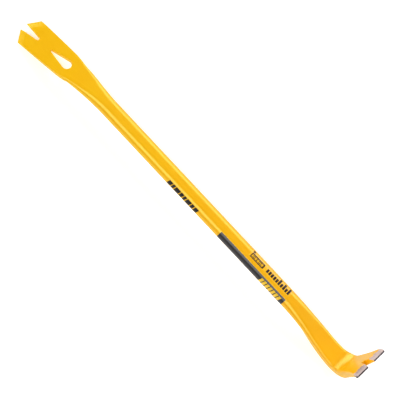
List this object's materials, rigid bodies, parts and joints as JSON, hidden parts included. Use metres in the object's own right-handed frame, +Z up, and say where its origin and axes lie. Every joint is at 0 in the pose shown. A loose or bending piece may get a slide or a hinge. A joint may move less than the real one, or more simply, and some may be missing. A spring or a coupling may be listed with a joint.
{
  "type": "pry bar",
  "caption": "Two-claw steel pry bar: flat chisel claw with a V slot and a teardrop nail hole, three-lobed shaft and a near right-angle hook claw with a V notch.",
  "frame": {"origin": "on the floor, under the middle of the bounding box, with the bar lying on its back", "axes": "+X along the shaft from the chisel claw to the hook claw, +Y across the claws, +Z up, the way the hook opens"},
  "size_m": [0.61, 0.0514, 0.085],
  "materials": {
    "yellow_paint": "gloss",
    "black_print": "gloss",
    "label_yellow": "gloss",
    "flank_ink": "gloss"
  },
  "bodies": {
    "root": {"forged_bar": "yellow_paint", "black_label": "black_print", "size_label": "label_yellow", "flank_print": "flank_ink"}
  },
  "joints": []
}
